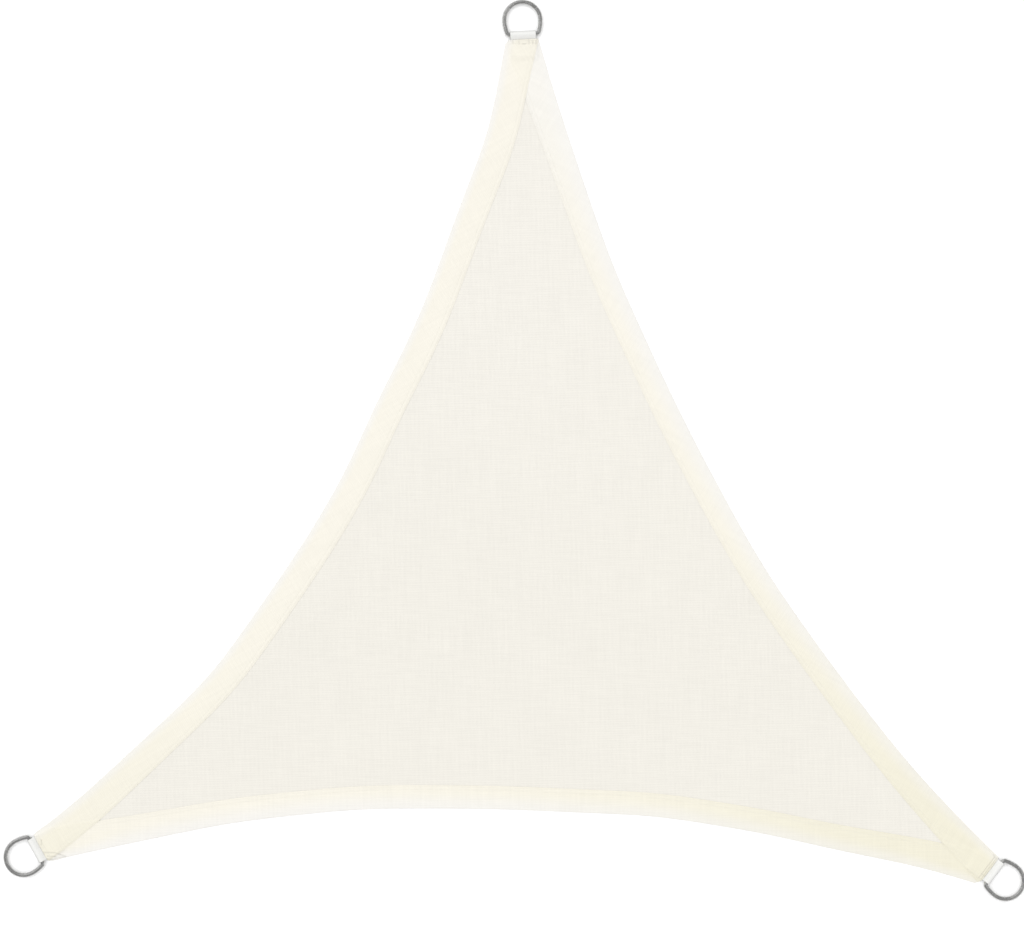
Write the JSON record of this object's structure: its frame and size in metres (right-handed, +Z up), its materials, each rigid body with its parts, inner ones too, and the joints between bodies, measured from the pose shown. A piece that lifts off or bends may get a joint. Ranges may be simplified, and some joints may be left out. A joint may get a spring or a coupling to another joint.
{
  "type": "shade sail",
  "caption": "Triangular knitted shade sail lying flat, with curved-in hemmed edges and a webbing loop with a steel D-ring at each corner.",
  "frame": {"origin": "centre of the whole sail's footprint, on the surface that it lies on", "axes": "+X along the bottom edge from the left corner to the right one, +Y towards the top corner, +Z up out of the cloth's face"},
  "size_m": [2.0116, 1.7514, 0.0124],
  "materials": {
    "knit_cloth": "matte fine knit",
    "webbing": "matte woven strap",
    "ring_steel": "polished"
  },
  "bodies": {
    "root": {"sail_cloth": "knit_cloth", "webbing_loop_top": "webbing", "webbing_loop_left": "webbing", "webbing_loop_right": "webbing", "d_ring_top": "ring_steel", "d_ring_left": "ring_steel", "d_ring_right": "ring_steel"}
  },
  "joints": []
}
